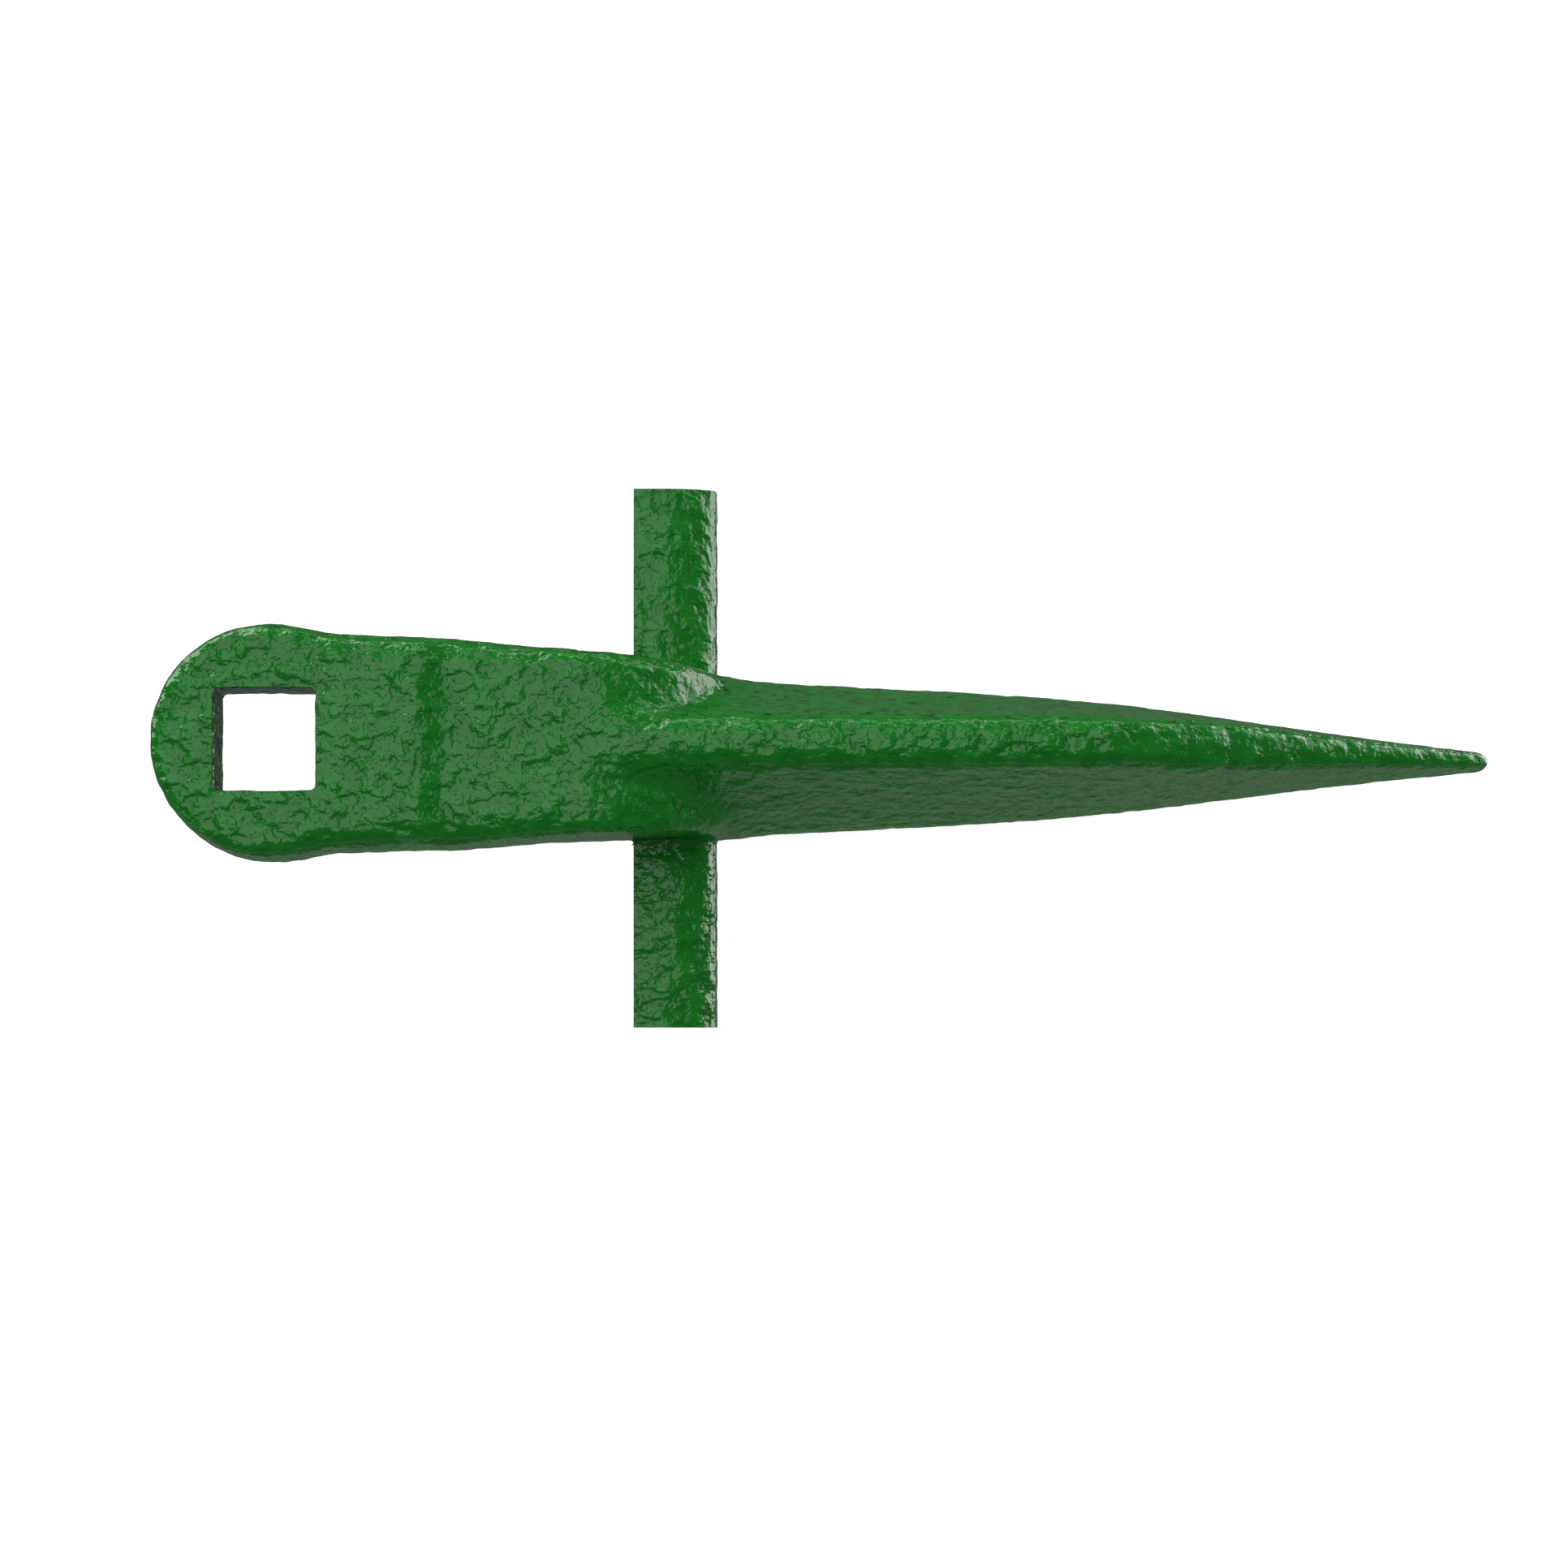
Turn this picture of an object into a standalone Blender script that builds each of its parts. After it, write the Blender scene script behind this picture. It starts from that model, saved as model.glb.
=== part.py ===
"""Sickle-bar mower guard: one finger of a cutter bar, with its riveted ledger plate.

The frame is in metres, with its origin where the cutter bar holds the guard: the centre of
the square bolt hole on the tongue's bar seat. +X runs along the finger to the point, +Y runs
across the wings, and +Z comes out of the underside of the guard, away from the knife.

Sizes are in millimetres. A height h is measured from the underside of the tongue towards the
knife side, the way a mechanic would lay a rule on the part, and level(h) is its z.
"""
import math

import bmesh
import bpy

MM = 0.001
GAP = 0.3
OVERRUN = 2.0
CUT_HALF_WIDTH = 20.0
WELD = 0.00001

TONGUE_THICK = 6.0
TONGUE_END_RADIUS = 15.4
TONGUE_EDGE = 1.6
TONGUE_FLARE = 0.65
NECK_REAR_X = 2.0
NECK_REAR_HALF = 14.4
BOLT_HOLE = 13.5
BOLT_HOLE_CORNER = 0.8

STEP_REAR_X = 20.2
STEP_FRONT_X = 23.6
STEP_RISE = 1.2

SHOULDER_X = 22.0
SHOULDER_LEAN = 0.05
PAD_FRONT_X = 41.0
PAD_FRONT_HALF = 12.4
PAD_FLARE = 0.35
PAD_NOSE_X = 62.6
PAD_NOSE_HALF = 11.2
PAD_NOSE_H = 22.5
PAD_NOSE_TURN = 78.0
PAD_CORNER = 2.8
PLATFORM_H = 20.5

WING_SPAN = 76.2
WING_REAR_X = 47.6
WING_FLAT_X = 51.2
WING_FRONT_X = 59.3
WING_UNDER_H = 20.0
WING_NOSE_H = 26.0
WING_BULGE = 0.3
WING_TOP_H = 27.0

SEAT_H = 24.0
EDGE_H = 23.2
EDGE_RISE_X = 122.0
EDGE_LAND = 0.8
KEEL_H = 0.8
KEEL_FLAT = 0.4
KEEL_FLAT_SHARE = 0.1
KEEL_RADIUS = 2.6
KEEL_SUNK = 1.0
KEEL_SUNK_X = 40.0
KEEL_OUT_X = 52.0
KEEL_RISE_X = 112.0
KEEL_RISE_POWER = 1.15
KEEL_TIP_H = 26.3
CREST_H = 40.0
CREST_FLAT = 1.4
CREST_FLAT_SHARE = 0.15
CREST_RADIUS = 3.6
CREST_DROP_X = 108.0
CREST_TIP_H = 29.8
CROWN_ROLL_SHARE = 0.6
TIP_X = 169.9
TIP_ROUND = 1.7
TIP_TURNS = (30.0, 55.0, 75.0)
TIP_END_SHARE = 0.3

SLOT_FRONT_X = 102.0
SLOT_ROOF_H = 33.3
SLOT_CORNER = 2.0
POINT_REAR_X = 100.5

LIP_REAR_X = 50.0
LIP_REAR_HALF = 4.4
LIP_REAR_EDGE = 0.6
LIP_REAR_CREST_H = 37.8
LIP_REAR_CREST_SHARE = 0.6
LIP_FRONT_X = 104.0
LIP_FRONT_HALF = 6.6
LIP_FRONT_CREST_H = 39.8
LIP_FLAT_SHARE = 0.25
LIP_ROLL_SHARE = 0.5
LIP_NOSE_SPACING = 1.2

LEDGER_THICK = 3.0
LEDGER_REAR_X = 48.0
LEDGER_REAR_HALF = 10.9
LEDGER_FRONT_X = 102.8
LEDGER_FRONT_HALF = 8.2
LEDGER_UNDERCUT = 0.7

RIVET_SHANK = 4.76
RIVET_HEAD = 8.6
RIVET_HEAD_RIM = 0.4
RIVET_HEAD_DEEP = 2.2
RIVET_LENGTH = 17.0
RIVET_STATIONS = {"rear": 62.0, "front": 88.0}
RIVET_FACETS = 32
TONGUE_FACETS = 64
TONGUE_EDGE_STEPS = 3
CORNER_STEPS = 4
PAD_NOSE_STEPS = 8
WING_NOSE_STEPS = 6

# Half width of the finger at its widest level: (x, half width).
FINGER_PLAN = (
    (36.0, 10.5),
    (50.0, 11.3),
    (59.2, 11.6),
    (69.2, 10.8),
    (90.8, 9.8),
    (104.9, 8.87),
    (116.6, 7.8),
    (128.0, 6.4),
    (141.3, 4.65),
    (153.6, 3.15),
    (165.0, 1.95),
    (169.0, 1.6),
)
FINGER_REAR_X = 36.0
FINGER_SPACING = 6.0


def clear_scene():
    for old in list(bpy.data.objects):
        bpy.data.objects.remove(old, do_unlink=True)


def level(height):
    return TONGUE_THICK - height


def collection(name):
    group = bpy.data.collections.new(name)
    bpy.context.scene.collection.children.link(group)
    return group


def steel(name, colour, roughness, metallic):
    material = bpy.data.materials.new(name)
    material.use_nodes = True
    shader = material.node_tree.nodes["Principled BSDF"]
    shader.inputs["Base Color"].default_value = (*colour, 1.0)
    shader.inputs["Roughness"].default_value = roughness
    shader.inputs["Metallic"].default_value = metallic
    return material


def link(made, group):
    group.objects.link(made)
    return made


def finish(name, shape, group):
    """Turn a bmesh built in millimetres into a named object in metres."""
    bmesh.ops.scale(shape, vec=(MM, MM, MM), verts=shape.verts)
    bmesh.ops.recalc_face_normals(shape, faces=shape.faces)
    mesh = bpy.data.meshes.new(name)
    shape.to_mesh(mesh)
    shape.free()
    return link(bpy.data.objects.new(name, mesh), group)


def as_tool(made):
    made.hide_render = True
    made.display_type = "WIRE"
    return made


def box(name, low, high, group):
    shape = bmesh.new()
    bmesh.ops.create_cube(shape, size=1.0)
    size = [b - a for a, b in zip(low, high)]
    middle = [(a + b) / 2 for a, b in zip(low, high)]
    bmesh.ops.scale(shape, vec=size, verts=shape.verts)
    bmesh.ops.translate(shape, vec=middle, verts=shape.verts)
    return finish(name, shape, group)


def plate(name, outline, low, high, upright, group):
    """Flat outline thickened to a plate; upright stands it in the XZ plane, else it lies flat.

    low and high bound the thickness: along z for a flat plate, along y for an upright one.
    """
    curve = bpy.data.curves.new(name + "_outline", "CURVE")
    curve.dimensions = "2D"
    curve.fill_mode = "BOTH"
    curve.extrude = (high - low) / 2 * MM
    spline = curve.splines.new("POLY")
    spline.points.add(len(outline) - 1)
    for point, (a, b) in zip(spline.points, outline):
        point.co = (a * MM, b * MM, 0.0, 1.0)
    spline.use_cyclic_u = True
    drawn = bpy.data.objects.new(name + "_outline", curve)
    bpy.context.scene.collection.objects.link(drawn)
    middle = (low + high) / 2 * MM
    if upright:
        drawn.rotation_euler.x = math.radians(90.0)
        drawn.location.y = middle
    else:
        drawn.location.z = middle
    bpy.context.view_layer.update()
    evaluated = drawn.evaluated_get(bpy.context.evaluated_depsgraph_get())
    mesh = bpy.data.meshes.new_from_object(evaluated)
    mesh.transform(drawn.matrix_world)
    bpy.data.objects.remove(drawn, do_unlink=True)
    shape = bmesh.new()
    shape.from_mesh(mesh)
    bmesh.ops.remove_doubles(shape, verts=shape.verts, dist=WELD)
    bmesh.ops.recalc_face_normals(shape, faces=shape.faces)
    shape.to_mesh(mesh)
    shape.free()
    mesh.name = name
    return link(bpy.data.objects.new(name, mesh), group)


def turned(name, x, profile, facets, group):
    """Solid of revolution about a vertical axis; the profile runs down its outer side."""
    mesh = bpy.data.meshes.new(name)
    points = [(radius * MM, 0.0, z * MM) for radius, z in profile]
    edges = [(i, i + 1) for i in range(len(points) - 1)]
    mesh.from_pydata(points, edges, [])
    made = link(bpy.data.objects.new(name, mesh), group)
    made.location.x = x * MM
    spin = made.modifiers.new("turn", "SCREW")
    spin.axis = "Z"
    spin.steps = facets
    spin.render_steps = facets
    spin.use_merge_vertices = True
    spin.merge_threshold = WELD
    spin.use_smooth_shade = True
    return made


def loft(name, rings, group):
    """Closed solid through sections that have the same number of points."""
    shape = bmesh.new()
    rows = [[shape.verts.new(point) for point in ring] for ring in rings]
    count = len(rows[0])
    for near, far in zip(rows, rows[1:]):
        for i in range(count):
            j = (i + 1) % count
            shape.faces.new((near[i], near[j], far[j], far[i]))
    shape.faces.new(rows[0])
    shape.faces.new(rows[-1])
    return finish(name, shape, group)


def mirrored_ring(x, side):
    """Section at x from its right-hand points (y, height), listed from underside to knife side."""
    right = [(x, y, level(h)) for y, h in side]
    left = [(x, -y, level(h)) for y, h in reversed(side)]
    return right + left


def boolean(target, tool, operation):
    step = target.modifiers.new(tool.name, "BOOLEAN")
    step.operation = operation
    step.object = as_tool(tool)
    step.solver = "EXACT"


def arc(centre_a, centre_b, radius, start, end, steps):
    """Points of an arc between two angles in degrees, both ends kept."""
    points = []
    for i in range(steps + 1):
        angle = math.radians(start + (end - start) * i / steps)
        points.append((centre_a + radius * math.cos(angle), centre_b + radius * math.sin(angle)))
    return points


def read_plan(plan, x):
    """Straight-line reading of a plan of (x, value) stations."""
    for (x0, v0), (x1, v1) in zip(plan, plan[1:]):
        if x <= x1:
            return v0 + (v1 - v0) * (x - x0) / (x1 - x0)
    return plan[-1][1]


def share(x, start, end):
    """How far x has come from start to end, held between 0 and 1."""
    return min(1.0, max(0.0, (x - start) / (end - start)))


def rolled_crown(edge_y, edge_h, crown_h, flat, radius):
    """Points from the middle of a crown to where its roll meets the facet from an edge.

    The crown is flat out to y = flat, then rolls over with the radius until it is tangent
    to the straight facet that ends at the edge. It works for crowns on either side.
    """
    up = 1.0 if crown_h > edge_h else -1.0
    centre_h = crown_h - up * radius
    across = edge_y - flat
    along = up * (edge_h - centre_h)
    reach = math.hypot(across, along)
    finish_angle = math.atan2(along, across) + math.acos(min(1.0, radius / reach))
    points = []
    for i in range(CORNER_STEPS + 1):
        angle = math.pi / 2 + (finish_angle - math.pi / 2) * i / CORNER_STEPS
        points.append((flat + radius * math.cos(angle), centre_h + up * radius * math.sin(angle)))
    return points


def keel_height(x):
    """The keel starts sunk in the pad, runs level with the tongue and rises to the point."""
    sunk = KEEL_SUNK * (1.0 - share(x, KEEL_SUNK_X, KEEL_OUT_X))
    return KEEL_H + sunk + (KEEL_TIP_H - KEEL_H) * share(x, KEEL_RISE_X, TIP_X) ** KEEL_RISE_POWER


def crest_height(x):
    return CREST_H + (CREST_TIP_H - CREST_H) * share(x, CREST_DROP_X, TIP_X)


def edge_height(x):
    tip_middle = (KEEL_TIP_H + CREST_TIP_H - EDGE_LAND) / 2
    return EDGE_H + (tip_middle - EDGE_H) * share(x, EDGE_RISE_X, TIP_X)


def keel_side(x):
    half = read_plan(FINGER_PLAN, x)
    edge = edge_height(x)
    keel = keel_height(x)
    flat = min(KEEL_FLAT, KEEL_FLAT_SHARE * half)
    radius = min(KEEL_RADIUS, CROWN_ROLL_SHARE * half, CROWN_ROLL_SHARE * (edge - keel))
    return rolled_crown(half, edge, keel, flat, radius) + [(half, edge)]


def finger_ring(x):
    """Finger under the ledger plate; it stands above the seat, which is then cut flat."""
    half = read_plan(FINGER_PLAN, x)
    return mirrored_ring(x, keel_side(x) + [(half, SEAT_H + OVERRUN)])


def point_ring(x):
    """Solid point ahead of the knife slot, with a crest on the knife side."""
    half = read_plan(FINGER_PLAN, x)
    land = edge_height(x) + EDGE_LAND
    crest = crest_height(x)
    flat = min(CREST_FLAT, CREST_FLAT_SHARE * half)
    radius = min(CREST_RADIUS, CROWN_ROLL_SHARE * half, CROWN_ROLL_SHARE * (crest - land))
    crown = rolled_crown(half, land, crest, flat, radius)
    return mirrored_ring(x, keel_side(x) + [(half, land)] + crown[::-1])


def shrunk_ring(ring, x, size):
    """Section moved to x and drawn in towards the axis of the tip."""
    middle = level((KEEL_TIP_H + CREST_TIP_H) / 2)
    return [(x, y * size, middle + (z - middle) * size) for _, y, z in ring]


def stations(start, end, spacing):
    count = math.ceil((end - start) / spacing)
    return [start + (end - start) * i / count for i in range(count + 1)]


def finger_block(group):
    rings = [finger_ring(x) for x in stations(FINGER_REAR_X, SLOT_FRONT_X + OVERRUN, 2 * FINGER_SPACING)]
    return loft("finger", rings, group)


def point_block(group):
    """Point from just behind the slot front, rounded off at the tip."""
    round_x = TIP_X - TIP_ROUND
    rings = [point_ring(x) for x in stations(POINT_REAR_X, round_x, FINGER_SPACING)]
    for turn in TIP_TURNS:
        advance = TIP_ROUND * math.sin(math.radians(turn))
        rings.append(shrunk_ring(point_ring(round_x), round_x + advance, math.cos(math.radians(turn))))
    rings.append(shrunk_ring(rings[-1], TIP_X, TIP_END_SHARE))
    return loft("point", rings, group)


def pad_half(x):
    return PAD_FRONT_HALF + (NECK_REAR_HALF - PAD_FRONT_HALF) * (1.0 - share(x, NECK_REAR_X, PAD_FRONT_X))


def pad_under(x):
    """Underside of the neck and pad: the tongue end stands proud by a shallow ramp."""
    return STEP_RISE * share(x, STEP_REAR_X, STEP_FRONT_X)


def pad_ring(x, under, half, top_half, top):
    """Section of neck or pad; its sides lean to top_half on the knife side."""
    corner = arc(half - PAD_CORNER, under + PAD_CORNER, PAD_CORNER, -90.0, 0.0, CORNER_STEPS)
    if under + PAD_CORNER > SEAT_H:
        squash = (SEAT_H - under) / PAD_CORNER
        corner = [(y, under + (h - under) * squash) for y, h in corner]
    return mirrored_ring(x, corner + [(top_half, top)])


def neck_and_pad(group):
    """Thin neck, then full-depth body whose underside rolls down at its nose to the finger."""
    rings = []
    for x in (NECK_REAR_X, STEP_REAR_X, SHOULDER_X):
        half = pad_half(x)
        rings.append(pad_ring(x, pad_under(x), half, half + TONGUE_FLARE, TONGUE_THICK))
    for x in (SHOULDER_X + SHOULDER_LEAN, STEP_FRONT_X):
        half = pad_half(x)
        rings.append(pad_ring(x, pad_under(x), half, half + PAD_FLARE, SEAT_H + OVERRUN))
    full = math.radians(PAD_NOSE_TURN)
    for i in range(PAD_NOSE_STEPS + 1):
        turn = full * i / PAD_NOSE_STEPS
        reach = math.sin(turn) / math.sin(full)
        drop = (1.0 - math.cos(turn)) / (1.0 - math.cos(full))
        x = PAD_FRONT_X + (PAD_NOSE_X - PAD_FRONT_X) * reach
        under = STEP_RISE + (PAD_NOSE_H - STEP_RISE) * drop
        half = PAD_FRONT_HALF + (PAD_NOSE_HALF - PAD_FRONT_HALF) * reach
        rings.append(pad_ring(x, under, half, half + PAD_FLARE * (1.0 - reach), SEAT_H + OVERRUN))
    return loft("pad", rings, group)


def tongue_end(group):
    """Round rear end of the tongue: underside edge rolled over, side drafted out to the bar seat."""
    profile = [(0.0, level(0.0))]
    centre_r = TONGUE_END_RADIUS - TONGUE_EDGE
    profile += arc(centre_r, level(TONGUE_EDGE), TONGUE_EDGE, 90.0, 0.0, TONGUE_EDGE_STEPS)
    profile += [(TONGUE_END_RADIUS + TONGUE_FLARE, level(TONGUE_THICK)), (0.0, level(TONGUE_THICK))]
    return turned("guard_body", 0.0, profile, TONGUE_FACETS, group)


def wing_bar(group):
    """Forged bar across the guard: flat underside behind, rolled up to its front edge."""
    reach = WING_FRONT_X + WING_BULGE - WING_FLAT_X
    rise = WING_NOSE_H - WING_UNDER_H
    last_turn = math.degrees(math.acos((WING_FRONT_X - WING_FLAT_X) / reach))
    profile = [(WING_REAR_X, level(WING_TOP_H)), (WING_REAR_X, level(WING_UNDER_H))]
    for a, b in arc(0.0, 0.0, 1.0, -90.0, -last_turn, WING_NOSE_STEPS):
        profile.append((WING_FLAT_X + reach * a, level(WING_NOSE_H + rise * b)))
    profile.append((WING_FRONT_X, level(WING_TOP_H)))
    return plate("wings", profile, -WING_SPAN / 2, WING_SPAN / 2, True, group)


def lip_ring(x):
    part = share(x, LIP_REAR_X, LIP_FRONT_X)
    nose_part = share(x, LIP_REAR_X - LIP_REAR_EDGE, LIP_REAR_X + LIP_REAR_HALF)
    nose = math.sin(math.acos(1.0 - nose_part))
    half = (LIP_REAR_HALF + (LIP_FRONT_HALF - LIP_REAR_HALF) * part) * nose
    crest = LIP_REAR_CREST_H + (LIP_FRONT_CREST_H - LIP_REAR_CREST_H) * part
    fullness = LIP_REAR_CREST_SHARE + (1.0 - LIP_REAR_CREST_SHARE) * nose
    crest = SLOT_ROOF_H + (crest - SLOT_ROOF_H) * fullness
    crown = rolled_crown(half, SLOT_ROOF_H, crest, LIP_FLAT_SHARE * half, LIP_ROLL_SHARE * half)
    return mirrored_ring(x, [(half, SLOT_ROOF_H - OVERRUN), (half, SLOT_ROOF_H)] + crown[::-1])


def lip_bar(group):
    """Lip over the knife slot, thinning towards its rounded rear end."""
    nose_front = LIP_REAR_X + LIP_REAR_HALF
    rings = [lip_ring(x) for x in stations(LIP_REAR_X, nose_front, LIP_NOSE_SPACING)]
    rings += [lip_ring(x) for x in stations(nose_front, LIP_FRONT_X, 2 * FINGER_SPACING)[1:]]
    return loft("lip", rings, group)


def bolt_hole(group):
    reach = BOLT_HOLE / 2 - BOLT_HOLE_CORNER
    outline = []
    for quarter in range(4):
        start = 90.0 * quarter
        side_x = 1.0 if quarter in (0, 3) else -1.0
        side_y = 1.0 if quarter in (0, 1) else -1.0
        outline += arc(side_x * reach, side_y * reach, BOLT_HOLE_CORNER, start, start + 90.0, CORNER_STEPS)
    low = level(TONGUE_THICK + OVERRUN)
    return plate("bolt_hole", outline, low, level(-OVERRUN), False, group)


def knife_back_way(group):
    """Room for the knife back between the cutter bar and the rear face of the wings."""
    low = (SHOULDER_X - OVERRUN, -CUT_HALF_WIDTH, level(SEAT_H + 2 * OVERRUN))
    high = (WING_REAR_X, CUT_HALF_WIDTH, level(PLATFORM_H))
    return box("knife_back_way", low, high, group)


def knife_slot(group):
    floor = WING_TOP_H + 0.5 * GAP
    rear = LIP_REAR_X - 4 * OVERRUN
    profile = [(rear, level(SLOT_ROOF_H)), (rear, level(floor)), (SLOT_FRONT_X, level(floor))]
    corner_x = SLOT_FRONT_X - SLOT_CORNER
    corner_z = level(SLOT_ROOF_H - SLOT_CORNER)
    profile += arc(corner_x, corner_z, SLOT_CORNER, 0.0, -90.0, CORNER_STEPS)
    return plate("knife_slot", profile, -CUT_HALF_WIDTH, CUT_HALF_WIDTH, True, group)


def ledger_seat(group):
    """Full-width seat ahead of the wings; its front end takes the nose of the ledger plate."""
    low = (WING_FRONT_X, -CUT_HALF_WIDTH, level(SEAT_H + LEDGER_THICK + 2 * GAP))
    high = (LEDGER_FRONT_X + GAP, CUT_HALF_WIDTH, level(SEAT_H))
    return box("ledger_seat", low, high, group)


def ledger_half(x):
    part = (x - LEDGER_REAR_X) / (LEDGER_FRONT_X - LEDGER_REAR_X)
    return LEDGER_REAR_HALF + (LEDGER_FRONT_HALF - LEDGER_REAR_HALF) * part


def ledger_pocket(group):
    """Part of the seat that lies between the wings."""
    rear = WING_REAR_X - OVERRUN
    front = WING_FRONT_X + OVERRUN
    rear_half = ledger_half(rear) + GAP
    front_half = ledger_half(front) + GAP
    outline = [(rear, -rear_half), (front, -front_half), (front, front_half), (rear, rear_half)]
    low = level(SEAT_H + LEDGER_THICK + 3 * GAP)
    return plate("ledger_pocket", outline, low, level(SEAT_H), False, group)


def rivet_profile(grow):
    """Countersunk rivet from the end of its shank down to the flat of its head."""
    face = level(SEAT_H + GAP + LEDGER_THICK)
    shank = RIVET_SHANK / 2 + grow
    head = RIVET_HEAD / 2 + grow
    return [
        (0.0, face + RIVET_LENGTH + grow),
        (shank, face + RIVET_LENGTH + grow),
        (shank, face + RIVET_HEAD_DEEP + grow),
        (head, face + RIVET_HEAD_RIM + grow),
        (head, face - 2 * grow),
        (0.0, face - 2 * grow),
    ]


def build_body(group, tools):
    body = tongue_end(group)
    body.data.materials.append(steel("green_painted_steel", (0.02, 0.11, 0.025), roughness=0.4, metallic=0.0))
    for block in (neck_and_pad, finger_block, point_block, wing_bar, lip_bar):
        boolean(body, block(tools), "UNION")
    for removal in (bolt_hole, knife_back_way, knife_slot, ledger_pocket, ledger_seat):
        boolean(body, removal(tools), "DIFFERENCE")
    for row, x in RIVET_STATIONS.items():
        hole = turned("body_hole_" + row, x, rivet_profile(GAP), RIVET_FACETS, tools)
        boolean(body, hole, "DIFFERENCE")


def build_ledger(group, tools):
    """Tapering knife-steel plate; its sides lean in towards the seat to leave keen edges."""
    face = level(SEAT_H + GAP + LEDGER_THICK)
    seat = level(SEAT_H + GAP)
    rings = []
    for x in (LEDGER_REAR_X, LEDGER_FRONT_X):
        half = ledger_half(x)
        seat_half = half - LEDGER_UNDERCUT
        rings.append([(x, half, face), (x, seat_half, seat), (x, -seat_half, seat), (x, -half, face)])
    ledger = loft("ledger_plate", rings, group)
    ledger.data.materials.append(steel("hardened_steel", (0.42, 0.42, 0.43), roughness=0.35, metallic=1.0))
    for row, x in RIVET_STATIONS.items():
        hole = turned("ledger_hole_" + row, x, rivet_profile(GAP), RIVET_FACETS, tools)
        boolean(ledger, hole, "DIFFERENCE")


def build_rivets(group):
    material = steel("rivet_steel", (0.5, 0.5, 0.52), roughness=0.3, metallic=1.0)
    for row, x in RIVET_STATIONS.items():
        rivet = turned("ledger_rivet_" + row, x, rivet_profile(0.0), RIVET_FACETS, group)
        rivet.data.materials.append(material)


clear_scene()
parts = collection("mower_guard")
cutters = collection("cutters")
build_body(parts, cutters)
build_ledger(parts, cutters)
build_rivets(parts)
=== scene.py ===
"""Looks of the sickle-bar mower guard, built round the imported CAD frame.

The guard is a green-painted casting lying underside up. Its body is drawn as one smooth solid
field, turned into a fine mesh, given the roughness of a sand mould, and then cut with crisp
tools where the real one is machined. The ledger plate and its rivets sit on the knife side.

Sizes are in millimetres until a mesh is finished. h is a height measured from the underside of
the tongue towards the knife side; z = TONGUE_THICK - h, as in the CAD.
"""

import math

import bmesh
import bpy
import numpy as np
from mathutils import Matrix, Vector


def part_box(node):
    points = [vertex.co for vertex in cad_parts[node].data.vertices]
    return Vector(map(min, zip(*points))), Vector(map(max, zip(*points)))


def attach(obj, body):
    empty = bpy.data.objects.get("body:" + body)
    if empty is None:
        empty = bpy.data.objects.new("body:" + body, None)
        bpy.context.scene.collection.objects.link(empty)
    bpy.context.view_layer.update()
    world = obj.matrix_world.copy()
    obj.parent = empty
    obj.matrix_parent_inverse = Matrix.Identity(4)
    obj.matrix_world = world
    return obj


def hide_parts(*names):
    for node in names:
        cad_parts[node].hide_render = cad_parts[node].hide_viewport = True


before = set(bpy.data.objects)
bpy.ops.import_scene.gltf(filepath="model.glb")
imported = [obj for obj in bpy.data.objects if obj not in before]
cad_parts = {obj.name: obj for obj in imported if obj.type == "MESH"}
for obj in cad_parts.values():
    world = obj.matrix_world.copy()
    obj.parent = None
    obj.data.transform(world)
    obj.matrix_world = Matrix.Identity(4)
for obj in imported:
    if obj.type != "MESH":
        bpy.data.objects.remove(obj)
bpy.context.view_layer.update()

MM = 0.001
VOXEL = 0.36

# A station of an outline is written (x, half width), and a change along the guard
# (from x, to x, how much).

# Tongue, neck and pad.
TONGUE_THICK = 6.0
TONGUE_RADIUS = 15.3
TONGUE_DRAFT = 0.10
DRAFT_GROWTH = (4.0, 20.0, 0.05)
DRAFT_FALL = (24.0, 36.0, 0.10)
TONGUE_ROLL = 2.0
ROLL_GROWTH = (-4.0, 10.0, 1.6)
NECK_START_X = 3.0
NECK_REAR = (2.0, 14.4)
NECK_FRONT = (41.0, 12.4)
NECK_FILLET = 1.6
PAD_NOSE = (62.6, 11.2)
STEP = (20.2, 23.6, 1.2)
STEP_LAG = 0.4
SHOULDER_X = 22.0
SHOULDER_LEAN = 0.075
LEAN_FALL = (SHOULDER_X, NECK_FRONT[0], 0.025)
NOSE_TURN = math.radians(78.0)
NOSE_H = 22.5
NOSE_CLOSING = 5.0

# Wings. WING_NOSE_MM turns the relative field of their rounded front into millimetres.
WING_REAR_X = 47.6
WING_FLAT_X = 51.2
WING_FRONT_X = 59.3
WING_UNDER_H = 20.0
WING_NOSE_H = 26.0
WING_NOSE_MM = 6.5
WING_NOSE_ROLL = 0.8
WING_BULGE = 0.3
WING_TOP_H = 27.0
WING_TOP_ROLL = 0.6
WING_ROOT_Y = 12.45
WING_STOCK_Y = (12.3, 12.6)
WING_HALF_SPAN = 38.1
WING_END_LEAN = 0.5
WING_END_LEAN_H = 24.0

# Knife side: ledger seat, platform of the knife and the slot it runs in.
SEAT_H = 24.0
SEAT_CUT_H = 27.6
PLATFORM_H = 20.5
POCKET_REAR_X = 45.0
POCKET_FRONT_X = 61.0
POCKET_CUT_H = 27.9
POCKET_REAR_SPARE = 0.15
POCKET_FRONT_SPARE = -0.64
SLOT_REAR_X = 40.0
SLOT_FRONT_X = 102.0
SLOT_ROOF_H = 33.3
SLOT_CORNER = 2.0
SLOT_RUNOUT = 0.15
SLOT_BLOCK_X = 100.5

BOLT_HOLE = 13.5
BOLT_HOLE_CORNER = 0.8
BOLT_HOLE_ROLL = 0.5

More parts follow.
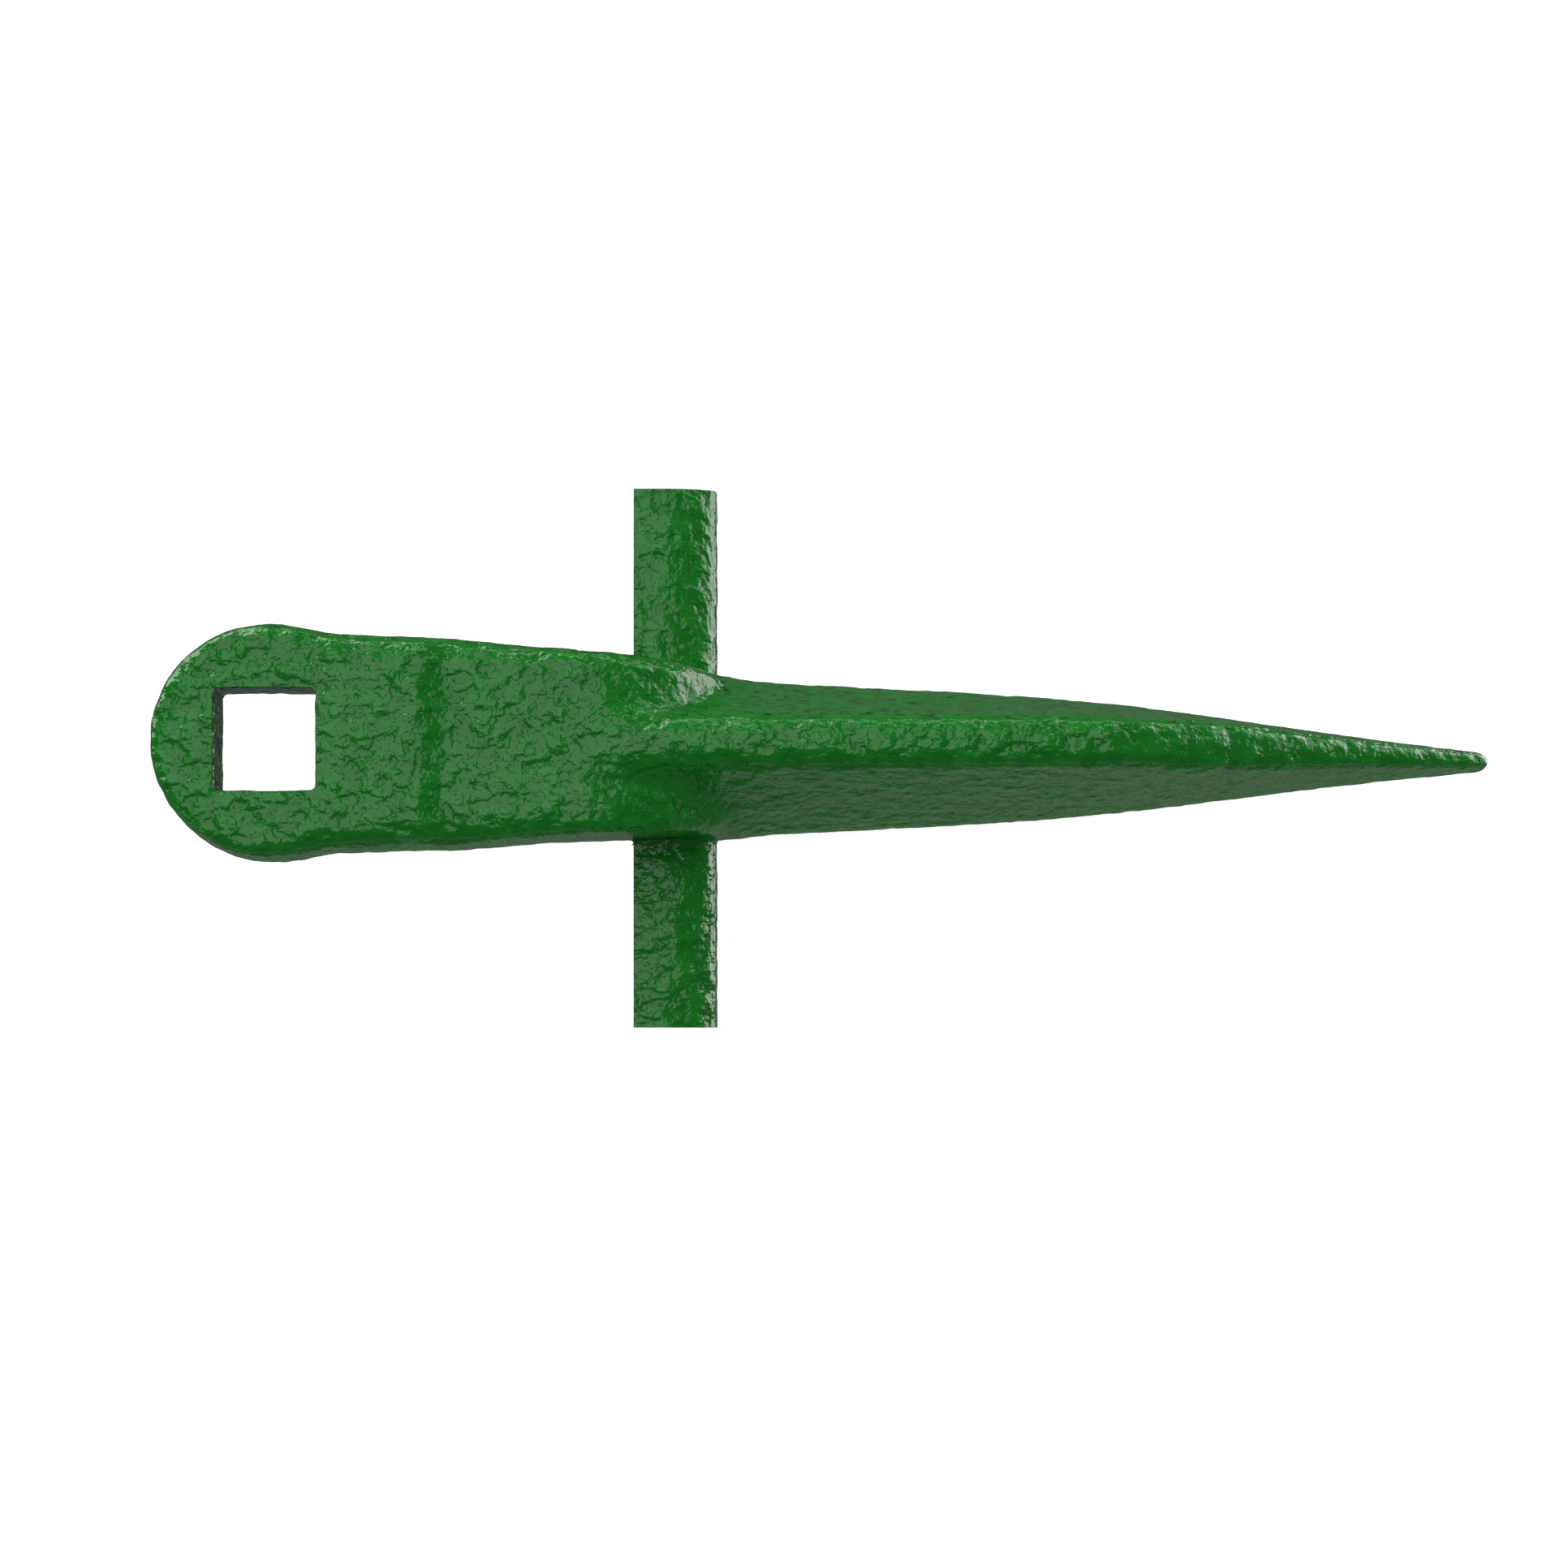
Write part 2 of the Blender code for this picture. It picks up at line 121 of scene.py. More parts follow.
# Finger: half width at each x, then its tip, widest edge, keel and crest.
FINGER_REAR_X = 36.0
FINGER_X = np.array([
    FINGER_REAR_X, 50.0, 59.2, 69.2, 79.3, 90.8, 104.9, 116.6, 128.0, 141.3, 153.6, 165.0, 170.5,
])
FINGER_HALF = np.array([
    10.5, 11.3, 11.6, 10.85, 10.35, 9.8, 8.87, 7.8, 6.42, 4.66, 3.15, 1.95, 1.5,
])
TIP_X = 170.2
TIP_ROLL = 2.6
EDGE_H = 23.4
EDGE_RISE = (122.0, TIP_X, 4.4)
EDGE_BAND = 0.8
EDGE_ROLL = 0.8
SIDE_ROLL = 0.7
KEEL_H = 0.8
KEEL_SINK = 5.0
KEEL_SINK_X = (35.0, 50.0)
KEEL_SINK_POWER = 1.6
KEEL_RISE = 25.5
KEEL_RISE_X = 112.0
KEEL_RISE_POWER = 1.15
KEEL_FLAT = 2.9
KEEL_FLAT_SHARE = 0.46
KEEL_ROLL = 2.6
KEEL_ROLL_SHARE = 0.5
CREST_H = 40.0
CREST_SINK = 0.2
CREST_FALL = (108.0, TIP_X, 10.0)
CREST_FLAT = 3.7
CREST_FLAT_SHARE = 0.44
CREST_ROLL_RATIO = 1.1

# Lip over the knife slot.
LIP_REAR_X = 50.0
LIP_REAR_HALF = 4.4
LIP_CENTRE_X = LIP_REAR_X + LIP_REAR_HALF
LIP_FRONT_X = 104.0
LIP_GROWTH = (LIP_CENTRE_X, LIP_FRONT_X, 2.2)
LIP_DRAFT = 0.12
LIP_REAR_H = 37.6
LIP_RISE = (LIP_REAR_X, LIP_FRONT_X, 2.2)
LIP_ROLL = 3.6
LIP_OVERLAP = 2.0

# Joining the parts: fillets, rounded cuts, and stock left for the cutting tools. FAR_INSIDE is
# a field value that cuts nothing.
NECK_TO_FINGER_FILLET = 2.6
WING_FILLET = 0.6
LIP_FILLET = 1.0
OUTLINE_ROLL = 0.4
SEAT_ROLL = 0.5
STOCK = 1.0
END_STOCK = 0.8
FAR_INSIDE = -9.0

# Roughness of the sand mould: its mean depth, then (size of the features, depth) of its three
# parts, and the same two sizes for the bend that makes it irregular.
RELIEF_MEAN = 0.16
SWELL = (3.2, 0.12)
LUMPS = (1.45, 0.14)
GRIT = (0.72, 0.06)
RELIEF_BEND = (2.2, 1.6)

# Ledger plate and its rivets.
LEDGER_FRONT_HALF = 8.2
LEDGER_UNDERCUT = 0.7
LEDGER_LAND = 0.6
LEDGER_LAND_LEAN = 0.1
LEDGER_PLAIN_END = 4.0
LEDGER_TOOTH = 1.3
LEDGER_NOTCH = 0.4
LEDGER_NOTCH_SHARE = 0.6
RIVETS = ("ledger_rivet_rear", "ledger_rivet_front")
RIVET_SHANK = 4.76
RIVET_RIM = 0.4
RIVET_HEAD_DEEP = 2.2
RIVET_SIDES = 64
FIT_GAP = 0.3

# Shading breaks where faces meet at more than these degrees.
CASTING_SHARP_ANGLE = 38.0
LEDGER_SHARP_ANGLE = 30.0

# Enamel: depth of its relief in millimetres, and the share of it, or of a colour, in places.
PAINT_BUMP = 0.95
PAINT_GRIT_SHARE = 0.28
PAINT_STREAK_SHARE = 0.36
PAINT_STEEP_SHARE = 0.48
PAINT_KNIFE_SIDE_SHARE = 0.35
PAINT_ROUGHNESS = (0.06, 0.11)
DARK_PATCH_SHARE = 0.3
# Share of painted shade in the pits of the steep sides that face +Y.
SIDE_SHADE_SHARE = 0.75

# Studio and camera: places are in metres, the floor's reach and the lens in millimetres.
ROOM_RADIANCE = 0.11
BACKDROP_RADIANCE = 1.0
FLOOR_REACH = 6000.0
FLOOR_GREY = 0.5
FLOOR_GLOW = 0.9
FLOOR_ROUGHNESS = 0.9

CAMERA_PLACE = (0.06873, -0.03852, 0.3246)
CAMERA_SENSOR = 36.0
CAMERA_LENS = 55.38
CAMERA_SHIFT_Y = 0.1573
CAMERA_CLIP = 0.01


# ---------------------------------------------------------------- solid field

def smooth_min(a, b, k):
    """Union of two fields with a fillet about k wide."""
    mix = np.clip(0.5 + 0.5 * (b - a) / k, 0.0, 1.0)
    return b * (1.0 - mix) + a * mix - k * mix * (1.0 - mix)


def smooth_max(a, b, k):
    """Cut of one field by another with an edge rounded about k wide."""
    return -smooth_min(-a, -b, k)


def ramp(x, start, end):
    """0 before start, 1 past end, straight between them."""
    return np.clip((x - start) / (end - start), 0.0, 1.0)


def change(x, along):
    """Amount gained at x by a change written (from x, to x, how much)."""
    start, end, amount = along
    return amount * ramp(x, start, end)


def ease(x, start, end):
    """Like ramp, but starting and ending softly."""
    t = ramp(x, start, end)
    return t * t * (3.0 - 2.0 * t)


def between(x, start, end):
    """Straight line through two (x, value) ends, carried on past both."""
    return start[1] + (end[1] - start[1]) * (x - start[0]) / (end[0] - start[0])


def pad_under(x):
    """Height of the underside of neck and pad, rolling down over the nose of the pad."""
    step_rear, step_front, step_rise = STEP
    early = ramp(x, step_rear - STEP_LAG, step_front - STEP_LAG)
    late = ramp(x, step_rear + STEP_LAG, step_front + STEP_LAG)
    step = 0.5 * step_rise * (early + late)
    reach = ramp(x, NECK_FRONT[0], PAD_NOSE[0]) * math.sin(NOSE_TURN)
    drop = (1.0 - np.sqrt(1.0 - reach ** 2)) / (1.0 - math.cos(NOSE_TURN))
    past = np.maximum(x - PAD_NOSE[0], 0.0) * NOSE_CLOSING
    return step + (NOSE_H - step_rise) * drop + past


def tongue_and_pad(x, y, h):
    """Rounded tongue end, neck and pad; sides lean out to the bar seat and back in above it."""
    disc = np.hypot(x, y) - TONGUE_RADIUS
    neck_half = between(x, NECK_REAR, NECK_FRONT)
    half = np.where(x < NECK_FRONT[0], neck_half, between(x, NECK_FRONT, PAD_NOSE))
    neck = np.maximum(y - half, NECK_START_X - x)
    plan = smooth_min(disc, neck, NECK_FILLET)
    draft = TONGUE_DRAFT + change(x, DRAFT_GROWTH) - change(x, DRAFT_FALL)
    lean = SHOULDER_LEAN - change(x, LEAN_FALL)
    plan = plan - draft * np.minimum(h, TONGUE_THICK) + lean * np.maximum(h - TONGUE_THICK, 0.0)
    e = 0.05
    slope = (pad_under(x + e) - pad_under(x - e)) / (2 * e)
    under = (pad_under(x) - h) / np.sqrt(1.0 + slope ** 2)
    roll = TONGUE_ROLL + change(x, ROLL_GROWTH)
    return smooth_max(plan, under, roll)


def keel_height(x):
    """Height of the keel: it comes out of the pad, runs level, then rises to the point."""
    sunk = KEEL_SINK * (1.0 - ramp(x, *KEEL_SINK_X)) ** KEEL_SINK_POWER
    return KEEL_H + sunk + KEEL_RISE * ramp(x, KEEL_RISE_X, TIP_X) ** KEEL_RISE_POWER


def edge_height(x):
    """Height at which the finger is widest."""
    return EDGE_H + change(x, EDGE_RISE)


def facet(y, h, foot_y, foot_h, edge_y, edge_h):
    """Signed distance to the sloping side between a crown foot and an edge in one section."""
    across = edge_y - foot_y
    rise = edge_h - foot_h
    length = np.hypot(across, rise)
    side = np.sign(rise)
    return ((y - edge_y) * rise - (h - edge_h) * across) * side / length


def finger(x, y, h):
    """Six-sided finger: flat keel below, flat crest above, two sloping facets to each side."""
    half = np.interp(x, FINGER_X, FINGER_HALF)
    edge = edge_height(x)
    keel = keel_height(x)
    foot = np.minimum(KEEL_FLAT, KEEL_FLAT_SHARE * half)
    keel_roll = np.minimum(KEEL_ROLL, KEEL_ROLL_SHARE * half)
    low = smooth_max(facet(y, h, foot, keel, half, edge), keel - h, keel_roll)
    crest = CREST_H - CREST_SINK - change(x, CREST_FALL)
    crest_foot = np.minimum(CREST_FLAT, CREST_FLAT_SHARE * half)
    upper_side = facet(y, h, crest_foot, crest, half, edge + EDGE_BAND)
    high = smooth_max(upper_side, h - crest, CREST_ROLL_RATIO * keel_roll)
    body = smooth_max(low, high, EDGE_ROLL)
    body = smooth_max(body, y - half, SIDE_ROLL)
    return smooth_max(body, x - TIP_X, TIP_ROLL)


def plan_limit(x, y):
    """Keeps the fillet between pad and finger from swelling the outline seen from below."""
    pad = between(x, NECK_FRONT, PAD_NOSE)
    half = np.maximum(np.interp(x, FINGER_X, FINGER_HALF), pad)
    return np.where(x > NECK_FRONT[0], y - half, FAR_INSIDE)


def wings(x, y, h):
    """Bar across the guard with a quarter-round front, left over-long for the cutting tools."""
    across = np.maximum((x - WING_FLAT_X) / (WING_FRONT_X + WING_BULGE - WING_FLAT_X), 0.0)
    down = np.maximum((WING_NOSE_H - h) / (WING_NOSE_H - WING_UNDER_H), 0.0)
    nose = (np.hypot(across, down) - 1.0) * WING_NOSE_MM
    nose = smooth_max(nose, x - WING_FRONT_X, WING_NOSE_ROLL)
    bar = smooth_max(nose, h - WING_TOP_H, WING_TOP_ROLL)
    rear_stock = END_STOCK * ease(y, *WING_STOCK_Y)
    bar = np.maximum(bar, WING_REAR_X - rear_stock - x)
    return np.maximum(bar, y - WING_HALF_SPAN - END_STOCK)


def lip(x, y, h):
    """Tongue-shaped lip that reaches back over the knife slot from the finger."""
    half = LIP_REAR_HALF + change(x, LIP_GROWTH)
    rear = np.hypot(x - LIP_CENTRE_X, y) - LIP_REAR_HALF
    plan = np.where(x < LIP_CENTRE_X, rear, y - half)
    plan = plan + LIP_DRAFT * (h - SLOT_ROOF_H)
    crest = LIP_REAR_H + change(x, LIP_RISE)
    bar = smooth_max(plan, h - crest, LIP_ROLL)
    bar = np.maximum(bar, SLOT_ROOF_H - STOCK - h)
    return np.maximum(bar, x - (LIP_FRONT_X + LIP_OVERLAP))


def bolt_hole(x, y):
    """Field of the square through-hole, with its corners rounded."""
    reach = BOLT_HOLE / 2 - BOLT_HOLE_CORNER
    across = np.abs(x) - reach
    along = y - reach
    outside = np.hypot(np.maximum(across, 0.0), np.maximum(along, 0.0))
    return outside + np.minimum(np.maximum(across, along), 0.0) - BOLT_HOLE_CORNER


def solid(x, y, h):
    """Field of the whole casting before machining; y is taken as a distance from the middle."""
    y = np.sqrt(y * y + 1e-6)
    seat_stock = h - (SEAT_H + STOCK)
    shank = smooth_max(tongue_and_pad(x, y, h), seat_stock, SEAT_ROLL)
    rear_limit = np.maximum(FINGER_REAR_X - x, 0.0)
    blade = finger(x, y, h) + rear_limit
    blade_low = np.maximum(blade, np.where(x < SLOT_FRONT_X, seat_stock, FAR_INSIDE))
    body = smooth_min(shank, blade_low, NECK_TO_FINGER_FILLET)
    body = smooth_max(body, plan_limit(x, y), OUTLINE_ROLL)
    body = np.minimum(body, np.maximum(blade, SLOT_BLOCK_X - x))
    body = smooth_min(body, wings(x, y, h), WING_FILLET)
    body = smooth_min(body, lip(x, y, h), LIP_FILLET)
    return smooth_max(body, -bolt_hole(x, y), BOLT_HOLE_ROLL)


# ---------------------------------------------------------------- meshing

def surface_net(field, origin, step):
    """Quads round the zero level of a sampled field, one vertex to each crossed cell."""
    inside = field < 0.0
    shape = tuple(n - 1 for n in field.shape)
    count = np.zeros(shape, dtype=np.int8)
    corners = [(i, j, k) for i in (0, 1) for j in (0, 1) for k in (0, 1)]
    for i, j, k in corners:
        count += inside[i:i + shape[0], j:j + shape[1], k:k + shape[2]]
    cells = np.argwhere((count > 0) & (count < 8))
    total = np.zeros((len(cells), 3))
    hits = np.zeros(len(cells))
    for a in corners:
        for axis in range(3):
            if a[axis]:
                continue
            b = list(a)
            b[axis] = 1
            va = field[tuple((cells + a).T)]
            vb = field[tuple((cells + b).T)]
            crossed = (va < 0.0) != (vb < 0.0)
            t = np.where(crossed, va / np.where(crossed, va - vb, 1.0), 0.0)
            point = np.repeat(np.array([a], dtype=float), len(cells), axis=0)
            point[:, axis] += t
            total[crossed] += point[crossed]
            hits[crossed] += 1
    verts = np.array(origin) + step * (cells + total / hits[:, None])
    number = np.full(shape, -1, dtype=np.int32)
    number[tuple(cells.T)] = np.arange(len(cells))
    quads = []
    for axis in range(3):
        lead = [slice(None)] * 3
        tail = [slice(None)] * 3
        lead[axis] = slice(0, -1)
        tail[axis] = slice(1, None)
        crossed = inside[tuple(lead)] != inside[tuple(tail)]
        edge = np.argwhere(crossed)
        u, v = [(1, 2), (2, 0), (0, 1)][axis]
        keep = (edge[:, u] > 0) & (edge[:, v] > 0)
        keep &= (edge[:, u] < field.shape[u] - 1) & (edge[:, v] < field.shape[v] - 1)
        edge = edge[keep]
        ring = []
        for du, dv in ((-1, -1), (0, -1), (0, 0), (-1, 0)):
            cell = edge.copy()
            cell[:, u] += du
            cell[:, v] += dv
            ring.append(number[tuple(cell.T)])
        quad = np.stack(ring, axis=1)
        outward = inside[tuple(edge.T)]
        quad[~outward] = quad[~outward][:, ::-1]
        quads.append(quad)
    return verts, np.concatenate(quads)


def gradient(points):
    """Slope of the field at each point, by differences."""
    e = 0.02
    x, y, h = points.T
    rise = np.stack([
        solid(x + e, y, h) - solid(x - e, y, h),
        solid(x, y + e, h) - solid(x, y - e, h),
        solid(x, y, h + e) - solid(x, y, h - e),
    ], axis=1)
    return rise / (2 * e)


def settle(points, rounds=3):
    """Pull mesh points onto the exact zero level, in steps well below a voxel."""
    longest = 0.3 * VOXEL
    flattest = 0.25
    for _ in range(rounds):
        g = gradient(points)
        value = solid(*points.T)
        size = np.maximum((g * g).sum(axis=1), flattest)
        move = -(value / size)[:, None] * g
        move = np.clip(move, -longest, longest)
        points = points + move
    return points


def lattice_noise(points, scale, seed):
    """Smooth random field in 0..1 with features about scale millimetres across."""
    rng = np.random.default_rng(seed)
    size = 64
    table = rng.random((size, size, size)).astype(np.float32)
    away_from_zero = 1000.0
    p = points / scale + away_from_zero
    cell = np.floor(p).astype(int)
    t = p - cell
    t = t * t * t * (t * (t * 6.0 - 15.0) + 10.0)
    out = np.zeros(len(points))
    for i in (0, 1):
        for j in (0, 1):
            for k in (0, 1):
                weight = np.abs(1 - i - t[:, 0]) * np.abs(1 - j - t[:, 1]) * np.abs(1 - k - t[:, 2])
                index = (cell + (i, j, k)) % size
                out += weight * table[index[:, 0], index[:, 1], index[:, 2]]
    return out


def casting_mesh():
    """Vertices and quads of the casting before machining, in millimetres and with z up."""
    low = np.array([-17.5, -40.5, -1.5])
    high = np.array([172.0, 40.5, 42.0])
    counts = np.ceil((high - low) / VOXEL).astype(int) + 1
    half_count = counts[1] // 2 + 1
    x = (low[0] + VOXEL * np.arange(counts[0])).astype(np.float32)[:, None, None]
    y = (VOXEL * (np.arange(half_count) + 0.5)).astype(np.float32)[None, :, None]
    h = (low[2] + VOXEL * np.arange(counts[2])).astype(np.float32)[None, None, :]
    right = solid(x, y, h)
    field = np.concatenate([right[:, ::-1, :], right], axis=1)
    origin = (low[0], -VOXEL * (half_count - 0.5), low[2])
    verts, quads = surface_net(field, origin, VOXEL)
    verts = settle(verts)
    normal = gradient(verts)
    normal /= np.linalg.norm(normal, axis=1)[:, None]
    kept_outline = RELIEF_MEAN * (1.0 - normal[:, 2] ** 2)
    rough = roughness_relief(verts) - kept_outline
    verts = verts - normal * rough[:, None]
    verts[:, 2] = TONGUE_THICK - verts[:, 2]
    return verts, quads[:, ::-1]


def roughness_relief(points):
    """Depth of the sand-mould texture below the true surface, in millimetres."""
    swell = lattice_noise(points, SWELL[0], 11)
    bend = lattice_noise(points, RELIEF_BEND[0], 12)[:, None] - 0.5
    bent = points + RELIEF_BEND[1] * bend
    lumps = lattice_noise(bent, LUMPS[0], 13)
    grit = lattice_noise(bent, GRIT[0], 14)
    return SWELL[1] * swell + LUMPS[1] * lumps + GRIT[1] * grit


def make_mesh(name, verts, faces, material):
    """Object in the scene from millimetre vertices."""
    mesh = bpy.data.meshes.new(name)
    mesh.from_pydata([tuple(v) for v in (verts * MM)], [], [tuple(f) for f in faces])
    mesh.validate()
    made = bpy.data.objects.new(name, mesh)
    bpy.context.scene.collection.objects.link(made)
    made.data.materials.append(material)
    return made


def z_of(height):
    """z of a height measured from the underside of the tongue."""
    return TONGUE_THICK - height


# ---------------------------------------------------------------- cutting tools

def box_tool(name, low, high):
    """Cutting box between two corners in millimetres."""
    shape = bmesh.new()
    bmesh.ops.create_cube(shape, size=1.0)
    size = [(b - a) * MM for a, b in zip(low, high)]
    middle = [(a + b) / 2 * MM for a, b in zip(low, high)]
    bmesh.ops.scale(shape, vec=size, verts=shape.verts)
    bmesh.ops.translate(shape, vec=middle, verts=shape.verts)
    return tool_object(name, shape)


def prism_tool(name, outline, low, high, upright):
    """Outline in (x, y) swept along z, or in (x, z) swept along y when upright."""
    shape = bmesh.new()
    rows = []
    for level in (low, high):
        row = []
        for a, b in outline:
            place = (a, level, b) if upright else (a, b, level)
            row.append(shape.verts.new([c * MM for c in place]))
        rows.append(row)
    return closed_tool(name, shape, rows)


def closed_tool(name, shape, rows):
    """Tool skinned over rings of vertices, one after another, and capped at both ends."""
    for near, far in zip(rows, rows[1:]):
        count = len(near)
        for i in range(count):
            j = (i + 1) % count
            shape.faces.new((near[i], near[j], far[j], far[i]))
    shape.faces.new(rows[0])
    shape.faces.new(rows[-1])
    bmesh.ops.recalc_face_normals(shape, faces=shape.faces)
    return tool_object(name, shape)


def tool_object(name, shape):
    """Turns a finished bmesh into an object for the Boolean cuts."""
    mesh = bpy.data.meshes.new(name)
    shape.to_mesh(mesh)
    shape.free()
    made = bpy.data.objects.new(name, mesh)
    bpy.context.scene.collection.objects.link(made)
    return made


def arc(ca, cb, radius, start, end, steps):
    """Points of an arc round (ca, cb), between two angles in degrees."""
    angles = [math.radians(start + (end - start) * i / steps) for i in range(steps + 1)]
    return [(ca + radius * math.cos(a), cb + radius * math.sin(a)) for a in angles]


def wing_end_tool(side, lean):
    """Cuts one wing off at the pitch; lean is how far its underside edge falls short of it."""
    span = WING_HALF_SPAN
    clear_y = span + 7.0
    clear_top = WING_TOP_H + 4.0
    clear_under = WING_UNDER_H - 4.0
    clear_rear = 44.0
    clear_front = 64.0
    ends = [(span, clear_top), (span, WING_END_LEAN_H)]
    ends += [(span - lean, WING_UNDER_H), (span - 2.0 * lean, clear_under)]
    ends += [(clear_y, clear_under), (clear_y, clear_top)]
    shape = bmesh.new()
    rows = []
    for x in (clear_rear, clear_front):
        places = [(x, side * y, z_of(h)) for y, h in ends]
        rows.append([shape.verts.new([c * MM for c in place]) for place in places])
    return closed_tool("end", shape, rows)


def machining_tools():
    """Everything that is cut crisply: wings, bar seat, knife platform, ledger seat and slot."""
    tools = []
    overlap = 1.0
    side_clear = 20.0
    wing_clear = 45.0
    rear_clear = -25.0
    neck_x = 38.0
    top_clear = z_of(31.0)
    bar_clear = z_of(34.0)
    under_clear = z_of(12.0)
    for side in (-1.0, 1.0):
        ys = sorted((side * WING_ROOT_Y, side * wing_clear))
        rear_low = (neck_x, ys[0], top_clear)
        rear_high = (WING_REAR_X, ys[1], under_clear)
        tools.append(box_tool("rear", rear_low, rear_high))
        tools.append(wing_end_tool(side, WING_END_LEAN if side > 0 else 0.0))

    bar_low = (rear_clear, -side_clear, bar_clear)
    bar_high = (SHOULDER_X, side_clear, z_of(TONGUE_THICK))
    tools.append(box_tool("bar", bar_low, bar_high))

    back_low = (SHOULDER_X - overlap, -side_clear, top_clear)
    back_high = (WING_REAR_X, side_clear, z_of(PLATFORM_H))
    tools.append(box_tool("back", back_low, back_high))

    ledger_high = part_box("ledger_plate")[1]
    seat_front = ledger_high[0] / MM + FIT_GAP
    seat_low = (WING_FRONT_X, -side_clear, z_of(SEAT_CUT_H))
    seat_high = (seat_front, side_clear, z_of(SEAT_H))
    tools.append(box_tool("seat", seat_low, seat_high))

    pocket_half = ledger_high[1] / MM + FIT_GAP
    wide = pocket_half + POCKET_REAR_SPARE
    narrow = pocket_half + POCKET_FRONT_SPARE
    outline = [(POCKET_REAR_X, -wide), (POCKET_FRONT_X, -narrow)]
    outline += [(POCKET_FRONT_X, narrow), (POCKET_REAR_X, wide)]
    tools.append(prism_tool("pocket", outline, z_of(POCKET_CUT_H), z_of(SEAT_H), False))

    roof = z_of(SLOT_ROOF_H)
    floor = z_of(WING_TOP_H + SLOT_RUNOUT)
    corner_z = z_of(SLOT_ROOF_H - SLOT_CORNER)
    profile = [(SLOT_REAR_X, roof), (SLOT_REAR_X, floor), (SLOT_FRONT_X, floor)]
    profile += arc(SLOT_FRONT_X - SLOT_CORNER, corner_z, SLOT_CORNER, 0.0, -90.0, 8)
    tools.append(prism_tool("slot", profile, -side_clear, side_clear, True))
    return tools


def machine(piece, tools):
    """Takes each tool out of the piece, one after another, and throws the tools away."""
    for tool in tools:
        step = piece.modifiers.new("cut_" + tool.name, "BOOLEAN")
        step.operation = "DIFFERENCE"
        step.object = tool
        step.solver = "MANIFOLD"
        bpy.context.view_layer.update()
        evaluated = piece.evaluated_get(bpy.context.evaluated_depsgraph_get())
        mesh = bpy.data.meshes.new_from_object(evaluated)
        piece.modifiers.clear()
        old = piece.data
        piece.data = mesh
        bpy.data.meshes.remove(old)
        bpy.data.objects.remove(tool, do_unlink=True)


# ---------------------------------------------------------------- materials

class Nodes:
    """Short way to add shader nodes to one material and wire them."""

    def __init__(self, name):
        self.material = bpy.data.materials.new(name)
        self.material.use_nodes = True
        self.tree = self.material.node_tree
        self.tree.nodes.clear()
        self.output = self.tree.nodes.new("ShaderNodeOutputMaterial")
        self.shader = self.tree.nodes.new("ShaderNodeBsdfPrincipled")
        self.join(self.shader.outputs[0], self.output.inputs["Surface"])
        self.coordinates = self.tree.nodes.new("ShaderNodeTexCoord")
        self.where = self.coordinates.outputs["Object"]
        self.normal_parts = None

    def join(self, source, target):
        """Wires an output to an input."""
        self.tree.links.new(source, target)

    def feed(self, socket, value):
        """Wires an output to an input, or sets the input to a plain value."""
        if isinstance(value, bpy.types.NodeSocket):
            self.join(value, socket)
        else:
            socket.default_value = value

    def place(self, stretch):
        """Object position in millimetres, each axis scaled by stretch."""
        node = self.tree.nodes.new("ShaderNodeVectorMath")
        node.operation = "MULTIPLY"
        self.join(self.where, node.inputs[0])
        node.inputs[1].default_value = [s / MM for s in stretch]
        return node.outputs[0]

    def shifted(self, vector, push, amount):
        """Vector plus a coloured noise, to bend a pattern."""
        node = self.tree.nodes.new("ShaderNodeVectorMath")
        node.operation = "MULTIPLY_ADD"
        self.join(push, node.inputs[0])
        node.inputs[1].default_value = (amount, amount, amount)
        self.join(vector, node.inputs[2])
        return node.outputs[0]

    def noise(self, vector, scale, detail=2.0, rough=0.5):
        """Noise texture node: Fac and Color outputs."""
        node = self.tree.nodes.new("ShaderNodeTexNoise")
        self.join(vector, node.inputs["Vector"])
        node.inputs["Scale"].default_value = scale
        node.inputs["Detail"].default_value = detail
        node.inputs["Roughness"].default_value = rough
        return node

    def spread(self, value, low, high, start=0.0, end=1.0):
        """Value mapped softly from low..high to start..end, and held there outside."""
        node = self.tree.nodes.new("ShaderNodeMapRange")
        node.interpolation_type = "SMOOTHSTEP"
        self.feed(node.inputs["Value"], value)
        node.inputs["From Min"].default_value = low
        node.inputs["From Max"].default_value = high
        node.inputs["To Min"].default_value = start
        node.inputs["To Max"].default_value = end
        return node.outputs["Result"]

    def reckon(self, kind, a, b=0.0):
        """One calculation: kind is the Math node's own name for it."""
        node = self.tree.nodes.new("ShaderNodeMath")
        node.operation = kind
        self.feed(node.inputs[0], a)
        self.feed(node.inputs[1], b)
        return node.outputs[0]

    def normal(self, axis):
        """X, Y or Z of the surface normal, in the object's own axes."""
        if self.normal_parts is None:
            self.normal_parts = self.tree.nodes.new("ShaderNodeSeparateXYZ")
            self.join(self.coordinates.outputs["Normal"], self.normal_parts.inputs[0])
        return self.normal_parts.outputs[axis]

    def product(self, a, b):
        """Two values multiplied."""
        return self.reckon("MULTIPLY", a, b)

    def blend(self, share, a, b):
        """Colour a with its share of colour b laid over it."""
        node = self.tree.nodes.new("ShaderNodeMix")
        node.data_type = "RGBA"
        colour_a, colour_b, colour_out = node.inputs[6], node.inputs[7], node.outputs[2]
        self.feed(node.inputs["Factor"], share)
        self.feed(colour_a, a)
        self.feed(colour_b, b)
        return colour_out

    def bump(self, height, strength, depth):
        """Bumped normal; depth is in millimetres."""
        node = self.tree.nodes.new("ShaderNodeBump")
        node.inputs["Strength"].default_value = strength
        node.inputs["Distance"].default_value = depth * MM
        self.join(height, node.inputs["Height"])
        return node.outputs[0]


